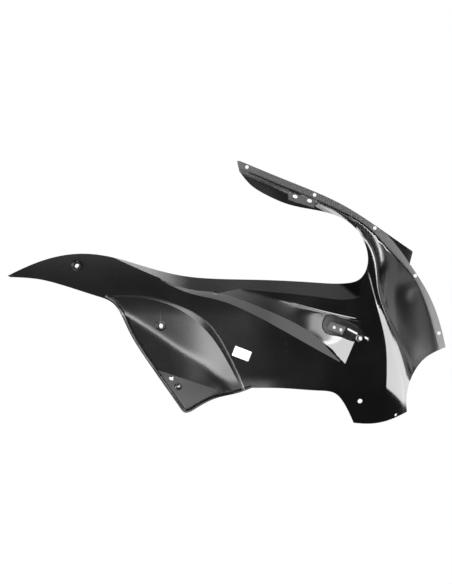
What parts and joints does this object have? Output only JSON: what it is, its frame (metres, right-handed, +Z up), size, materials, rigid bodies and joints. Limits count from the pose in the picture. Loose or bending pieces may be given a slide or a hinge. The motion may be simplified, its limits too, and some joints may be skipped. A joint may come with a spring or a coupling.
{
  "type": "motorcycle fairing panel",
  "caption": "Left half-fairing side panel: a thin black moulding with a windscreen flange, mirror arm, cockpit lip, body creases, turn-signal seat and fixing bosses.",
  "frame": {"origin": "midway between the two mirror-bolt holes, on the inner face of the mirror pad", "axes": "+X forward along the motorcycle, +Y outwards to the left of the machine, +Z up"},
  "size_m": [0.742, 0.1634, 0.4467],
  "materials": {
    "black_plastic": "black moulded plastic, satin inside and glossy outside",
    "sticker_paper": "blank white paper"
  },
  "bodies": {
    "root": {"fairing_panel": "black_plastic", "paper_sticker": "sticker_paper"}
  },
  "joints": []
}
